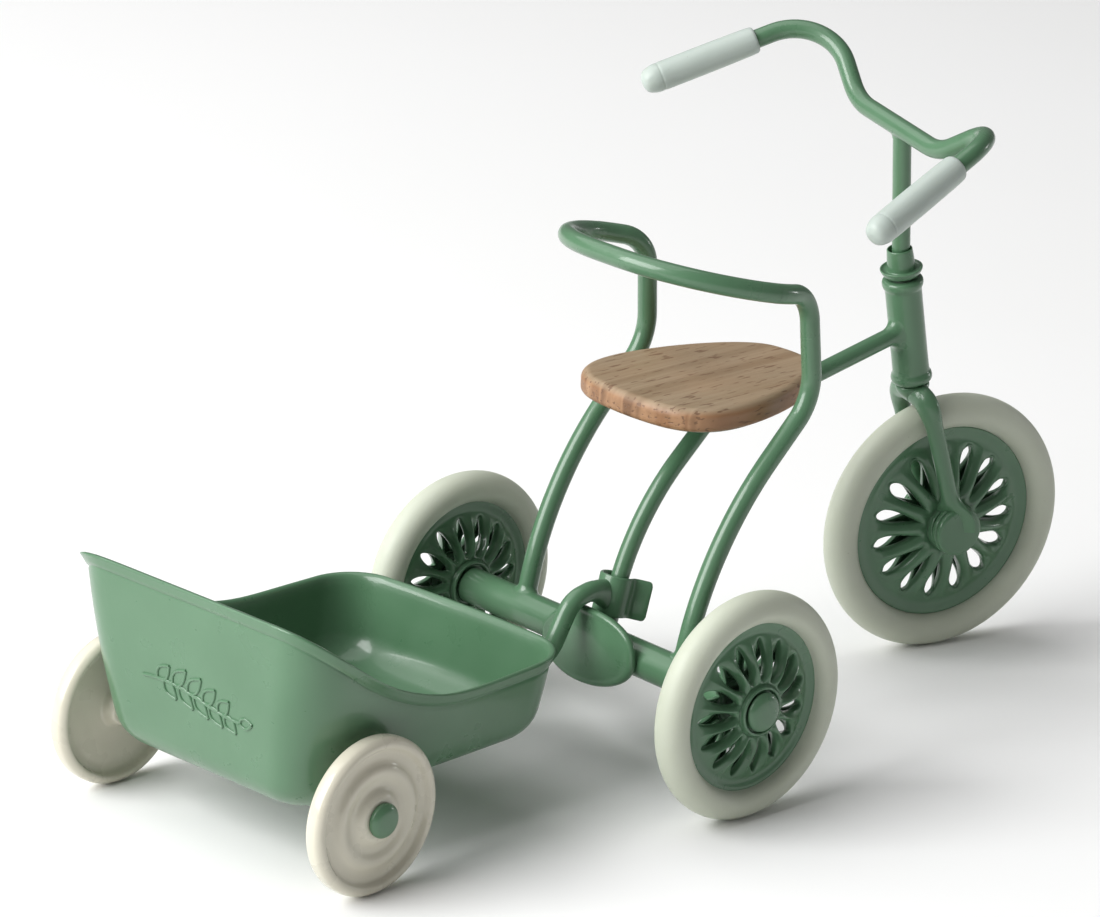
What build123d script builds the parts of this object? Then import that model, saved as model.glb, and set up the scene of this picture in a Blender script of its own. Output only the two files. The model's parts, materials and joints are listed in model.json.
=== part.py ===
from build123d import *
import math
import os

# Doll's tricycle with a hitched trailer.  Millimetres, +X forward, +Y left, +Z up.
# The row's origin is on the floor under the middle of the whole outline.

# ---- driving dimensions -------------------------------------------------------------------
REAR_AXLE_X = -9.4          # place of the rear axle in the row's frame
CENTRE_Y = -0.65            # place of the tricycle's middle plane in the row's frame

# rear wheels
REAR_R = 20.0               # outside radius of the tyre
REAR_TYRE_R = 3.18          # radius of the tyre's round section
REAR_RIM_R = 14.55          # seat of the tyre on the discs
HALF_TRACK = 36.96
# front wheel
FRONT_R = 24.4
FRONT_TYRE_R = 3.12
FRONT_RIM_R = 18.45
FRONT_AXLE = (83.4, 24.38)  # x forward of the rear axle and height, wheel pointing straight
STEER_REST = -13.5          # degrees: the wheel and handlebar stand turned to the right
# axles and running fits
AXLE_R = 1.2
TRAILER_AXLE_R = 1.1
RUNNING_FIT = 0.06          # radial clearance of a wheel on its axle
END_GAP = 0.35              # axial play at each side of a wheel
SLOTS = 15                  # louvred slots round each disc
SHEET = 0.5                 # thickness of a wheel disc
# bars and tubes
HOOP_R = 1.72
SPINE_R = 1.6
HANDLEBAR_R = 1.7
STEM_R = 1.65
BLADE_R = 1.55
AXLE_TUBE_R = 3.2
# head
HEAD_BOTTOM = (74.35, 52.74)
HEAD_TOP = (70.24, 72.87)
HEAD_R = 3.35
HEAD_BORE_R = 1.9
STEERER_R = 1.83
# seat
SEAT_X = 23.6
SEAT_TOP = 64.4
SEAT_THICKNESS = 4.1
SEAT_HALF_LENGTH = 20.4
SEAT_HALF_WIDTH = 16.5
SEAT_TAPER = 0.275          # the board is narrower at the front
LEG_Y = 20.7                # middle of a leg at the seat
FOOT_Y = 19.96              # and at the axle
# trailer
TRAILER_AXLE = (-72.4, 7.74)    # from the rear axle, in plan
TRAILER_YAW = 4.39              # degrees
TRAILER_R = 13.56
TRAILER_HALF_TRACK = 31.0
TRAILER_RIM_T = 1.86            # half the width of the rolled rim
TUB_FLOOR = 12.4
TUB_SHEET = 0.8
# hitch
HITCH_Z = 27.75                 # height of the middle of the clip on the spine bar
CLIP_BORE_R = 2.5
CLIP_R = 3.05
CLIP_HEIGHT = 7.1
CLIP_SLACK = (-0.26, 0.23)      # the loose clip hangs back from the middle of the bar

HEAD_AXIS = Vector(HEAD_TOP[0] - HEAD_BOTTOM[0], 0, HEAD_TOP[1] - HEAD_BOTTOM[1]).normalized()
HEAD_LENGTH = math.dist(HEAD_TOP, HEAD_BOTTOM)
STEERING = Axis((HEAD_BOTTOM[0], 0, HEAD_BOTTOM[1]), HEAD_AXIS)
ROW_PLACE = Location((REAR_AXLE_X, CENTRE_Y, 0))
TRAILER_PLACE = Location((TRAILER_AXLE[0], TRAILER_AXLE[1], 0), (0, 0, TRAILER_YAW))


# ---- shape helpers ------------------------------------------------------------------------
def bar(points, bends, radius):
    """A round bar along straight runs joined by tangent arcs."""
    path = FilletPolyline(*points, radius=bends)
    return sweep(Plane(origin=path @ 0, z_dir=path % 0) * Circle(radius), path=path)


def rod(start, end, radius):
    """A straight round rod between two points."""
    start, end = Vector(start), Vector(end)
    plane = Plane(origin=start, z_dir=end - start)
    return plane * extrude(Circle(radius), (end - start).length)


def turned(profile):
    """A solid of revolution about the Y axis from (radius, y) corner points."""
    face = make_face(Polyline(*[(radius, y, 0) for radius, y in profile], close=True))
    return revolve(face, Axis.Y)


def at_height(points_xz, y=0):
    return [(x, y, z) for x, z in points_xz]


# ---- wheels: built about the origin, axle along Y, outer side towards +Y --------------------
def tyre(radius, section, rim):
    ring = Torus(radius - section, section, rotation=(90, 0, 0))
    return ring - Cylinder(rim, 4 * section, rotation=(90, 0, 0))


def slot_cutter(rim):
    """One teardrop slot through a disc, wide end outwards."""
    outline = make_hull([
        *(Pos(0.37 * rim, 0) * Circle(0.026 * rim)).edges(),
        *(Pos(0.735 * rim, 0) * Circle(0.072 * rim)).edges(),
    ])
    return extrude(outline, 10, both=True).rotate(Axis.X, 90)


def wheel_disc(rim, edge_y, hub_y, bush):
    """A dished pressing: a turned-in edge, a flat band, a slotted cone and a hub ring."""
    ring = 4.4
    band = 0.86 * rim
    disc = turned([
        (bush, hub_y), (ring, hub_y), (ring + 0.4, hub_y - 0.5), (band, edge_y - 0.35), (rim, edge_y),
        (rim, 0), (rim - SHEET, 0), (rim - SHEET, edge_y - SHEET), (band, edge_y - 0.35 - SHEET),
        (ring, hub_y - 0.5 - SHEET), (bush, hub_y - 0.5 - SHEET),
    ])
    slots = [slot_cutter(rim).rotate(Axis.Y, 360 / SLOTS * i) for i in range(SLOTS)]
    return disc - slots


def spoked_wheel(prefix, radius, section, rim, edge_y, hub_y, bush_span):
    """Tyre, two slotted discs and the hub bush of one tricycle wheel."""
    bush = 2.3
    outer = wheel_disc(rim, edge_y, hub_y, bush)
    return {
        prefix + "_tyre": tyre(radius, section, rim),
        prefix + "_outer_disc": outer,
        prefix + "_inner_disc": outer.mirror(Plane.XZ),
        prefix + "_hub_bush": turned([
            (AXLE_R + RUNNING_FIT, -bush_span), (bush, -bush_span), (bush, bush_span),
            (AXLE_R + RUNNING_FIT, bush_span),
        ]),
    }


def hub_cap(start, radius, height, axle_r, depth):
    """A domed push-on cap with a blind bore, standing outwards from y = start."""
    dome = turned([
        (0, start), (radius, start), (radius, start + 0.35 * height),
        (0.86 * radius, start + 0.75 * height), (0.5 * radius, start + height), (0, start + height),
    ])
    return dome - rod((0, start - 1, 0), (0, start + depth, 0), axle_r)


REAR_BUSH = 3.2
REAR_CAP_START = REAR_BUSH + END_GAP
FRONT_BUSH = 4.0
EYE_START = FRONT_BUSH + END_GAP
EYE_THICKNESS = 1.3
CAP_DEPTH = 1.0


def rear_wheels():
    nodes = {}
    for side, name in ((1, "rear_left"), (-1, "rear_right")):
        wheel = spoked_wheel(name, REAR_R, REAR_TYRE_R, REAR_RIM_R, 1.7, 2.9, REAR_BUSH)
        for node, shape in wheel.items():
            upright = shape if side == 1 else shape.mirror(Plane.XZ)
            nodes[node] = Pos(0, side * HALF_TRACK, REAR_R) * upright
    return nodes


def front_wheel():
    wheel = spoked_wheel("front", FRONT_R, FRONT_TYRE_R, FRONT_RIM_R, 1.25, 3.3, FRONT_BUSH)
    nodes = {}
    for node, shape in wheel.items():
        name = node.replace("outer", "left").replace("inner", "right")
        nodes[name] = Pos(FRONT_AXLE[0], 0, FRONT_AXLE[1]) * shape
    return nodes


# ---- frame ---------------------------------------------------------------------------------
# The spine bar leaves the head tube, runs level under the seat and curves down to the axle.
SPINE_POINTS = [(72.6, 63.0), (36.0, 56.05), (24.7, 56.3), (6.95, 40.5), (0.5, 17.0)]
SPINE_BENDS = [20.0, 8.0, 46.0]
SPINE_FOOT, SPINE_KNEE = SPINE_POINTS[4], SPINE_POINTS[3]
HITCH_LEAN = math.atan2(SPINE_KNEE[0] - SPINE_FOOT[0], SPINE_KNEE[1] - SPINE_FOOT[1])
HITCH_X = SPINE_FOOT[0] + (HITCH_Z - SPINE_FOOT[1]) * math.tan(HITCH_LEAN)
# One leg of the hoop bar in side view, from the axle up to the armrest corner.
LEG_POINTS = [(0.21, 17.0), (3.07, 39.5), (28.1, 64.1), (26.6, 82.8)]
LEG_BENDS = [63.0, 10.6]
RAIL_CORNER = (26.6, 20.1)
RAIL_HALF_WIDTH = 22.2
RAIL_BACK_X = -1.1
RAIL_RADIUS = 20.1
RAIL_SLOPE = 0.25           # the armrest rises towards its back
CORNER_RADIUS = 6.6


def largest(shape):
    return shape.solids().sort_by(SortBy.VOLUME)[-1]


def axle_cutter():
    return rod((0, -50, REAR_R), (0, 50, REAR_R), AXLE_TUBE_R)


def rear_axle():
    half = HALF_TRACK - REAR_BUSH - END_GAP
    tube = rod((0, -half, REAR_R), (0, half, REAR_R), AXLE_TUBE_R)
    inside = rod((0, -half - 1, REAR_R), (0, half + 1, REAR_R), AXLE_R)
    end = HALF_TRACK + REAR_CAP_START + CAP_DEPTH
    cap = hub_cap(REAR_CAP_START, 3.5, 2.0, AXLE_R, CAP_DEPTH)
    return {
        "rear_axle_tube": tube - inside,
        "rear_axle_rod": rod((0, -end, REAR_R), (0, end, REAR_R), AXLE_R),
        "rear_hub_caps": [
            Pos(0, HALF_TRACK, REAR_R) * cap,
            Pos(0, -HALF_TRACK, REAR_R) * cap.mirror(Plane.XZ),
        ],
    }


def head_cutter():
    foot = Vector(HEAD_BOTTOM[0], 0, HEAD_BOTTOM[1])
    return rod(foot - HEAD_AXIS * 5, foot + HEAD_AXIS * 30, HEAD_R)


def spine_bar():
    return largest(bar(at_height(SPINE_POINTS), SPINE_BENDS, SPINE_R) - head_cutter() - axle_cutter())


def seat_hoop_bar():
    """Both legs and the armrest in one bent bar."""
    def rail_z(x):
        return LEG_POINTS[3][1] + RAIL_SLOPE * (RAIL_CORNER[0] - x)

    leg_ys = (FOOT_Y, (FOOT_Y + LEG_Y) / 2, LEG_Y)
    leg = [(x, y, z) for (x, z), y in zip(LEG_POINTS, leg_ys)]
    rail = [
        (RAIL_CORNER[0], RAIL_CORNER[1], rail_z(RAIL_CORNER[0])),
        (RAIL_BACK_X + RAIL_RADIUS, RAIL_HALF_WIDTH, rail_z(RAIL_BACK_X + RAIL_RADIUS)),
        (RAIL_BACK_X, RAIL_HALF_WIDTH, rail_z(RAIL_BACK_X)),
    ]
    left = leg + rail
    right = [(x, -y, z) for x, y, z in reversed(left)]
    half_bends = LEG_BENDS + [CORNER_RADIUS, 20.0, RAIL_RADIUS - 0.6]
    return largest(bar(left + right, half_bends + half_bends[::-1], HOOP_R) - axle_cutter())


def head_tube():
    """The head tube with a rolled bead at each end."""
    foot = Vector(HEAD_BOTTOM[0], 0, HEAD_BOTTOM[1])
    plane = Plane(origin=foot, z_dir=HEAD_AXIS)
    body = extrude(Circle(HEAD_R), HEAD_LENGTH)
    for height in (0.9, HEAD_LENGTH - 0.9):
        body += Pos(0, 0, height) * Torus(HEAD_R - 0.4, 0.8)
    body -= extrude(Circle(HEAD_BORE_R), 2 * HEAD_LENGTH, both=True)
    return plane * body


PLATE_WIDTHS = (13.2, 10.0)     # to the right and left of the middle
PLATE_HALF_HEIGHT = 7.0
PLATE_Z = 20.4
PLATE_SHEET = 1.6


def saddle_plate():
    """A shield behind the axle tube: square at its upper right, falling away to the left."""
    points = []
    for i in range(24):
        angle = 2 * math.pi * i / 24
        across, up = math.cos(angle), math.sin(angle)
        if across > 0:
            half_width, power = PLATE_WIDTHS[0], 0.71 if up > 0 else 1.05
        else:
            half_width, power = PLATE_WIDTHS[1], 1.35 if up > 0 else 0.9
        points.append((half_width * math.copysign(abs(across) ** power, across),
                       PLATE_HALF_HEIGHT * math.copysign(abs(up) ** power, up)))
    plate = extrude(make_face(Spline(*points, periodic=True)), PLATE_SHEET)
    plate = fillet(plate.faces().sort_by(Axis.Z)[-1].edges(), 0.7)
    plane = Plane(origin=(-AXLE_TUBE_R - 0.1, 0, PLATE_Z), x_dir=(0, -1, 0), z_dir=(-1, 0, 0))
    web = Pos(-AXLE_TUBE_R / 2, 0, REAR_R) * Box(AXLE_TUBE_R + 0.4, 9, 9)
    return plane * plate + web - axle_cutter() - spine_bar()


def seat_outline(scale):
    """Rounded board outline, wider at the back."""
    points = []
    for i in range(24):
        angle = 2 * math.pi * (i + 0.5) / 24
        across, along = math.sin(angle), math.cos(angle)
        x = SEAT_HALF_LENGTH * math.copysign(abs(along) ** 0.93, along)
        y = SEAT_HALF_WIDTH * math.copysign(abs(across) ** 0.63, across)
        points.append((scale * x, scale * y * (1 - SEAT_TAPER * x / SEAT_HALF_LENGTH)))
    return make_face(Spline(*points, periodic=True))


SCREW_PLACES = [(14.0, 0), (29.5, 7.0), (29.5, -7.0)]
PAN_THICKNESS = 0.8
BRACKETS = [(27.5, 5), (38.0, 6)]   # x and length of the blocks between the spine bar and the pan


def seat():
    under = SEAT_TOP - SEAT_THICKNESS
    board = Pos(SEAT_X, 0, under) * extrude(seat_outline(1.0), SEAT_THICKNESS)
    board = fillet(board.faces().sort_by(Axis.Z)[-1].edges(), 1.6)
    board = fillet(board.faces().sort_by(Axis.Z)[0].edges(), 1.1)
    pan_bottom = under - PAN_THICKNESS
    pan = Pos(SEAT_X, 0, pan_bottom) * extrude(seat_outline(0.86), PAN_THICKNESS)
    brackets = []
    for x, length in BRACKETS:
        block = Pos(x, 0, pan_bottom - 4) * Box(length, 2.4, 8)
        brackets.append((block - spine_bar()).solids().sort_by(Axis.Z)[-1])
    screws = []
    for x, y in SCREW_PLACES:
        head = Pos(x, y, pan_bottom - 0.5) * Cylinder(1.5, 1.0)
        shank = Pos(x, y, pan_bottom + 1.6) * Cylinder(0.7, 3.2)
        screws.append(head + shank)
        hole = Pos(x, y, pan_bottom + 1.6) * Cylinder(0.7, 3.2)
        board -= hole
        pan -= hole
    return {
        "seat_board": board,
        "seat_pan": pan,
        "seat_brackets": brackets,
        "seat_screws": screws,
    }


# ---- fork and handlebar, built pointing straight ahead ------------------------------------------
def on_head_axis(height):
    """A point on the steering axis, measured up from the head tube's foot."""
    return Vector(HEAD_BOTTOM[0], 0, HEAD_BOTTOM[1]) + HEAD_AXIS * height


CROWN_TOP = -0.3
CROWN_HEIGHT = 2.6
COLLAR_START = HEAD_LENGTH + 0.4
BLADE_Y = 5.5
STEERER_IN_COLLAR = 2.2
STEM_TOP = (67.4, 101.0)
COLLAR_MOUTH_R = 1.95
# The left half of the handlebar, from the end inside the grip to the bend beside the stem.
BAR_END = (37.9, 37.15, 99.2)
BAR_OUTER_BEND = (69.1, 28.6, 112.5)
BAR_INNER_BEND = (66.6, 13.0, 101.25)
BAR_BENDS = [9.8, 10.7]
BAR_TILT = 3.9              # the bar stands a little aslant on its stem
BAR_TURN = 1.85
GRIP_LENGTH = 20.6
GRIP_TIP = 1.3              # rubber beyond the end of the bar


def steerer():
    return rod(on_head_axis(CROWN_TOP - CROWN_HEIGHT), on_head_axis(COLLAR_START + STEERER_IN_COLLAR),
               STEERER_R)


def stem_rod():
    return rod(on_head_axis(COLLAR_START + STEERER_IN_COLLAR), (STEM_TOP[0], 0, STEM_TOP[1]), STEM_R)


def fork():
    nodes = {}
    crown_plane = Plane(origin=on_head_axis(CROWN_TOP - CROWN_HEIGHT), z_dir=HEAD_AXIS)
    crown = crown_plane * extrude(Ellipse(2.8, 3.2), CROWN_HEIGHT)
    nodes["steerer"] = steerer()
    for side, name in ((1, "left"), (-1, "right")):
        points = [
            (74.5, 1.2 * side, 51.4), (75.4, 3.9 * side, 49.0), (76.9, BLADE_Y * side, 44.5),
            (81.6, BLADE_Y * side, 30.0), (FRONT_AXLE[0], 5.0 * side, FRONT_AXLE[1] + 1.5),
        ]
        blade = bar(points, [4.0, 7.0, 12.0], BLADE_R)
        eye_y = side * (EYE_START + EYE_THICKNESS / 2)
        eye = Pos(FRONT_AXLE[0], eye_y, FRONT_AXLE[1]) * Cylinder(3.2, EYE_THICKNESS, rotation=(90, 0, 0))
        inside = Pos(FRONT_AXLE[0], side * (EYE_START - 5), FRONT_AXLE[1]) * Box(12, 10, 12)
        blade = blade - inside + eye
        blade -= rod((FRONT_AXLE[0], -9, FRONT_AXLE[1]), (FRONT_AXLE[0], 9, FRONT_AXLE[1]), AXLE_R)
        blade -= crown
        blade -= Pos(FRONT_AXLE[0], side * (EYE_START + EYE_THICKNESS + 5), FRONT_AXLE[1]) * Cylinder(
            4.6, 10, rotation=(90, 0, 0))
        nodes["fork_blade_" + name] = largest(blade)
    nodes["fork_crown"] = crown - nodes["steerer"]
    cap_start = EYE_START + EYE_THICKNESS
    cap = turned([
        (0, cap_start), (4.3, cap_start), (4.3, cap_start + 0.7), (3.7, cap_start + 1.2),
        (0, cap_start + 1.4),
    ]) - rod((0, 0, 0), (0, cap_start + 0.8, 0), AXLE_R)
    centre = Pos(FRONT_AXLE[0], 0, FRONT_AXLE[1])
    nodes["front_hub_caps"] = [centre * cap, centre * cap.mirror(Plane.XZ)]
    end = cap_start + 0.8
    nodes["front_axle_rod"] = centre * rod((0, -end, 0), (0, end, 0), AXLE_R)
    collar_plane = Plane(origin=on_head_axis(COLLAR_START), z_dir=HEAD_AXIS)
    collar = turned([(0, 0), (3.1, 0), (3.85, 1.0), (3.75, 1.4), (2.75, 2.5), (2.5, 3.1), (2.25, 5.3), (0, 5.3)])
    collar = collar.rotate(Axis.X, 90) - Pos(0, 0, 5.3) * Cylinder(COLLAR_MOUTH_R, 4)
    nodes["headset_collar"] = collar_plane * collar - steerer() - stem_rod()
    return nodes


def stem_and_handlebar():
    left = [BAR_END, BAR_OUTER_BEND, BAR_INNER_BEND]
    right = [(x, -y, z) for x, y, z in reversed(left)]
    tube = bar(left + right, BAR_BENDS + BAR_BENDS[::-1], HANDLEBAR_R)
    back = (Vector(*BAR_END) - Vector(*BAR_OUTER_BEND)).normalized()
    grip_plane = Plane(origin=Vector(*BAR_END) - back * GRIP_LENGTH, z_dir=back)
    grip = extrude(Circle(2.4), GRIP_LENGTH + GRIP_TIP, taper=-0.6)
    grip = fillet(grip.faces().sort_by(Axis.Z)[-1].edges(), 2.2)
    grip -= extrude(Circle(HANDLEBAR_R), GRIP_LENGTH)
    grip = grip_plane * grip
    slant = Axis((STEM_TOP[0], 0, STEM_TOP[1]), (1, 0, 0))

    def set_on_stem(shape):
        return shape.rotate(slant, BAR_TILT).rotate(STEERING, BAR_TURN)

    tube = set_on_stem(tube)
    return {
        "handlebar": tube,
        "stem": stem_rod() - tube - steerer(),
        "grip_left": set_on_stem(grip),
        "grip_right": set_on_stem(grip.mirror(Plane.XZ)),
    }


# ---- trailer, built about its own axle, +X towards the hitch --------------------------------------
def tub_section(z, rear, front, rear_half, mid_half, front_half, corner, inset=0):
    """One level of the tub in plan: bulged sides and ends with rounded corners."""
    rear, front = rear + inset, front - inset
    rear_half, mid_half, front_half = rear_half - inset, mid_half - inset, front_half - inset
    middle = (rear + front) / 2
    outline = Polyline((rear, rear_half), (rear, -rear_half)) + [
        ThreePointArc((rear, -rear_half), (middle, -mid_half), (front, -front_half)),
        ThreePointArc((front, -front_half), (front + 1.2, 0), (front, front_half)),
        ThreePointArc((front, front_half), (middle, mid_half), (rear, rear_half)),
    ]
    face = make_face(outline)
    return Pos(0, 0, z) * fillet(face.vertices(), corner - inset)


TUB_LEVELS = [
    # z, rear x, front x, half widths at the rear, middle and front, corner radius
    (TUB_FLOOR, -8.9, 47.1, 23.6, 24.7, 24.8, 8.5),
    (27.0, -11.0, 50.3, 27.2, 27.6, 26.2, 9.0),
    (50.0, -12.2, 52.0, 30.4, 29.6, 24.5, 9.0),
]
RIM_POINTS = [(-16.0, 48.9), (2.0, 36.0), (18.0, 28.8), (34.0, 27.5), (60.0, 28.0)]
RIM_SLOPES = (-0.6, 0.05)
TUB_FOOT_R = 5.0
TUB_CHANNEL_TOP = TRAILER_R + TRAILER_AXLE_R + 0.3


def tub_block(inset):
    lift = [inset, 0, 1 if inset else 0]
    sections = [tub_section(level[0] + up, *level[1:], inset) for level, up in zip(TUB_LEVELS, lift)]
    block = loft(sections)
    return fillet(block.faces().sort_by(Axis.Z)[0].edges(), TUB_FOOT_R - inset)


def rim_cutter():
    """Everything above the rim: high at the rear, sweeping down to a low front."""
    first, last = RIM_POINTS[0], RIM_POINTS[-1]
    curve = Spline(*at_height(RIM_POINTS), tangents=[(1, 0, RIM_SLOPES[0]), (1, 0, RIM_SLOPES[1])])
    top = 60
    outline = curve + [
        Line((last[0], 0, last[1]), (last[0], 0, top)), Line((last[0], 0, top), (first[0], 0, top)),
        Line((first[0], 0, top), (first[0], 0, first[1])),
    ]
    return extrude(make_face(outline), 50, both=True)


def tub():
    def channel(extra):
        height = TUB_CHANNEL_TOP + extra - 5
        return Pos(0, 0, 5 + height / 2) * Box(2 * (TRAILER_AXLE_R + 0.3 + extra), 80, height)

    outside = tub_block(0) - channel(0)
    inside = tub_block(TUB_SHEET) - channel(TUB_SHEET)
    return outside - inside - rim_cutter()


def trailer_wheel():
    """A pressed disc with a rolled edge, raised rings and a hub boss."""
    r, t = TRAILER_R, TRAILER_RIM_T
    hub = TRAILER_AXLE_R + RUNNING_FIT
    return turned([
        (hub, -2.6), (2.6, -2.6), (2.6, -0.1), (r - 2.2, -0.1), (r - 1.7, -t), (r - 0.6, -t),
        (r, -t + 0.8), (r, t - 0.8), (r - 0.6, t), (r - 1.7, t), (r - 2.6, 1.0), (8.0, 0.9),
        (6.6, 1.5), (5.2, 0.9), (4.2, 1.0), (3.4, 2.3), (hub, 2.3),
    ])


DRAWBAR_R = 1.7
PLATE_THICKNESS = 0.8
DRAWBAR_Z = TUB_FLOOR - PLATE_THICKNESS - DRAWBAR_R
RIVET_PLACES = [(11, 5), (11, -9), (36, 5), (36, -12)]
STRAP_Y = 13.0


def trailer():
    nodes = {}
    shell = tub()
    plate = Pos(24, -3, TUB_FLOOR - PLATE_THICKNESS / 2) * Box(33, 22, PLATE_THICKNESS)
    straps = [Pos(1.2, side * STRAP_Y, TUB_FLOOR - 0.4) * Box(9, 5, 0.8) for side in (1, -1)]
    rivets = []
    for x, y, thick in ([(x, y, PLATE_THICKNESS) for x, y in RIVET_PLACES]
                        + [(4.2, side * STRAP_Y, 0.8) for side in (1, -1)]):
        shank = Pos(x, y, TUB_FLOOR) * Cylinder(0.7, 3)
        low = Pos(x, y, TUB_FLOOR - thick - 0.35) * Cylinder(1.3, 0.7)
        high = Pos(x, y, TUB_FLOOR + TUB_SHEET + 0.35) * Cylinder(1.3, 0.7)
        rivets.append(shank + low + high)
        shell -= shank
        plate -= shank
        straps = [strap - shank for strap in straps]
    nodes["trailer_tub"] = shell
    nodes["drawbar_plate"] = plate
    nodes["trailer_axle_straps"] = straps
    nodes["floor_rivets"] = rivets
    end = TRAILER_HALF_TRACK + 2.3 + END_GAP + 0.85
    nodes["trailer_axle_rod"] = rod((0, -end, TRAILER_R), (0, end, TRAILER_R), TRAILER_AXLE_R)
    cap = hub_cap(2.3 + END_GAP, 3.0, 1.5, TRAILER_AXLE_R, 0.85)
    nodes["trailer_hub_caps"] = [
        Pos(0, TRAILER_HALF_TRACK, TRAILER_R) * cap,
        Pos(0, -TRAILER_HALF_TRACK, TRAILER_R) * cap.mirror(Plane.XZ),
    ]
    wheel = trailer_wheel()
    nodes["trailer_left_wheel"] = Pos(0, TRAILER_HALF_TRACK, TRAILER_R) * wheel
    nodes["trailer_right_wheel"] = Pos(0, -TRAILER_HALF_TRACK, TRAILER_R) * wheel.mirror(Plane.XZ)
    return nodes


# The drawbar leaves the plate under the floor, swings up in front of the tub and bends level.
DRAWBAR_POINTS = [(14, -1, DRAWBAR_Z), (49, -9.8, DRAWBAR_Z), (60.7, -12.4, 21.3), (64.65, -13.1, 29.3),
                  (75.6, -13.4, 30.4)]
DRAWBAR_BENDS = [7.0, 8.0, 5.4]
TAB_LENGTH = 3.4
TAB_ANGLE = -42.0


def clip_plane():
    return Plane(origin=(HITCH_X + CLIP_SLACK[0], CLIP_SLACK[1], HITCH_Z),
                 z_dir=(math.sin(HITCH_LEAN), 0, math.cos(HITCH_LEAN)),
                 x_dir=(math.cos(HITCH_LEAN), 0, -math.sin(HITCH_LEAN)))


def hitch_clip():
    """An open sleeve round the spine bar with a flared tab at its front right."""
    sleeve = Cylinder(CLIP_R, CLIP_HEIGHT) - Cylinder(CLIP_BORE_R, 2 * CLIP_HEIGHT)
    gap = Rot(0, 0, TAB_ANGLE + 42) * Pos(CLIP_R, 0, 0) * Box(2.4, 2.0, 2 * CLIP_HEIGHT)
    tab = Rot(0, 0, TAB_ANGLE) * Pos(CLIP_BORE_R + 0.1 + TAB_LENGTH / 2, 0, 0) * Box(
        TAB_LENGTH, CLIP_R - CLIP_BORE_R, CLIP_HEIGHT)
    return clip_plane() * (sleeve - gap + tab)


def drawbar():
    clip = TRAILER_PLACE.inverse() * (clip_plane() * Cylinder(CLIP_R, 2 * CLIP_HEIGHT))
    whole = bar(DRAWBAR_POINTS, DRAWBAR_BENDS, DRAWBAR_R) - clip
    return largest(whole)


# ---- assembly -----------------------------------------------------------------------------------
def build():
    frame = {
        "head_tube": head_tube(),
        "spine_bar": spine_bar(),
        "seat_hoop_bar": seat_hoop_bar(),
        "axle_saddle_plate": saddle_plate(),
        **rear_axle(),
        **seat(),
        **rear_wheels(),
        "hitch_clip": hitch_clip(),
    }
    steered = {**fork(), **stem_and_handlebar(), **front_wheel()}
    towed = {**trailer(), "drawbar": drawbar()}
    nodes = {}
    for name, shape in frame.items():
        nodes[name] = as_one(shape).moved(ROW_PLACE)
    for name, shape in steered.items():
        nodes[name] = as_one(shape).rotate(STEERING, STEER_REST).moved(ROW_PLACE)
    for name, shape in towed.items():
        nodes[name] = as_one(shape).moved(ROW_PLACE * TRAILER_PLACE)
    return nodes


def as_one(shape):
    """One shape from a solid or from a list of separate like solids."""
    solids = [solid for item in (shape if isinstance(shape, list) else [shape]) for solid in item.solids()]
    return solids[0] if len(solids) == 1 else Compound(solids)


def main():
    os.makedirs("parts", exist_ok=True)
    nodes = build()
    for name, shape in nodes.items():
        export_step(shape, f"parts/{name}.step")
    box = Compound(list(nodes.values())).bounding_box()
    print("nodes", len(nodes), "box", box.min, box.max)


if __name__ == "__main__":
    main()
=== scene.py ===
import json
import math
import bmesh
import bpy
from mathutils import Matrix, Vector


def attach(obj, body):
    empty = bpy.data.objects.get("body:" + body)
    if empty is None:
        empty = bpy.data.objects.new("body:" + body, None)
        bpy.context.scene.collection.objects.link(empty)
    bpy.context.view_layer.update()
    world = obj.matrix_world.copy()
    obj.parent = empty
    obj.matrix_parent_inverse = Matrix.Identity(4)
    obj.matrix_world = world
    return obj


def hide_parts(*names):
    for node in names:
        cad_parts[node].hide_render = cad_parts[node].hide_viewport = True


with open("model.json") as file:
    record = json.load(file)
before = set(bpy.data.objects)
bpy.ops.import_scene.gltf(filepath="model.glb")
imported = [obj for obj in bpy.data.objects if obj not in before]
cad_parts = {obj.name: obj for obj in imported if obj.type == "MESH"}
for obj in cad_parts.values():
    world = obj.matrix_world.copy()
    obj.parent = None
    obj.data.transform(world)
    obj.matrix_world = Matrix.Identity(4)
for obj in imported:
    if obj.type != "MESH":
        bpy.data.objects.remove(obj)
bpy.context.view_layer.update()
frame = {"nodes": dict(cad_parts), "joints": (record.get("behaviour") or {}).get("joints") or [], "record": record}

# A doll's tricycle with a hitched trailer.  Lengths in this file are millimetres; the matrices
# below turn each group's own coordinates into the row's frame in metres.
JOINTS = {joint["name"]: joint for joint in frame["joints"]}
MM = 0.001
UP = Vector((0, 0, 1))


def joint_at(name):
    return Vector(JOINTS[name]["pos_m"])


def joint_axis(name):
    return Vector(JOINTS[name]["axis"]).normalized()


# ---- places ----------------------------------------------------------------
rear_left, rear_right = joint_at("rear_left_spin"), joint_at("rear_right_spin")
REAR_R = rear_left.z
REAR_GROUND = Vector(((rear_left.x + rear_right.x) / 2, (rear_left.y + rear_right.y) / 2, 0))
FRAME_AT = Matrix.Translation(REAR_GROUND) @ Matrix.Scale(MM, 4)

trailer_left, trailer_right = joint_at("trailer_left_spin"), joint_at("trailer_right_spin")
trailer_axis = joint_axis("trailer_left_spin")
TRAILER_GROUND = (trailer_left + trailer_right) / 2
TRAILER_AXLE_Z = TRAILER_GROUND.z / MM
TRAILER_GROUND.z = 0
TRAILER_YAW = math.atan2(-trailer_axis.x, trailer_axis.y)
TRAILER_AT = (Matrix.Translation(TRAILER_GROUND) @ Matrix.Rotation(TRAILER_YAW, 4, "Z")
              @ Matrix.Scale(MM, 4))

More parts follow.
